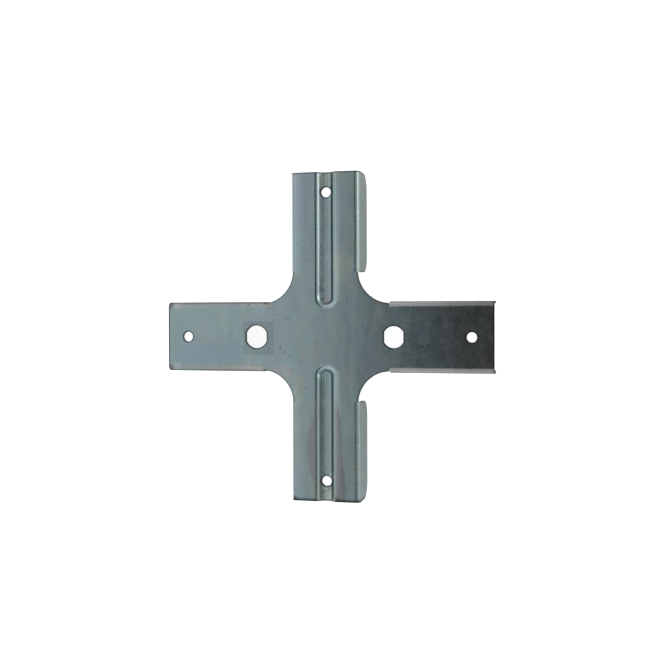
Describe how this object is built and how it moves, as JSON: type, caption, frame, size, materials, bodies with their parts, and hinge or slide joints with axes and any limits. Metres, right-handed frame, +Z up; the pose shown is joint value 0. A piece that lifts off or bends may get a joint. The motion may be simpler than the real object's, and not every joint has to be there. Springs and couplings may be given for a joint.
{
  "type": "cross bracket",
  "caption": "Cross-shaped pressed steel bracket with down-turned flanges, grooved arms and punched fixing holes, for joining and stiffening crossing frame members.",
  "frame": {"origin": "Middle of the hub in plan, at the height of the flange edges that it rests on.", "axes": "X runs along the plain across arms, Y runs along the grooved upright arms, and Z points up out of the flat face."},
  "size_m": [0.203, 0.2, 0.023],
  "materials": {
    "zinc_plated_steel": "zinc plated, semi-matte with a faint mottle"
  },
  "bodies": {
    "root": {"cross_bracket": "zinc_plated_steel"}
  },
  "joints": []
}
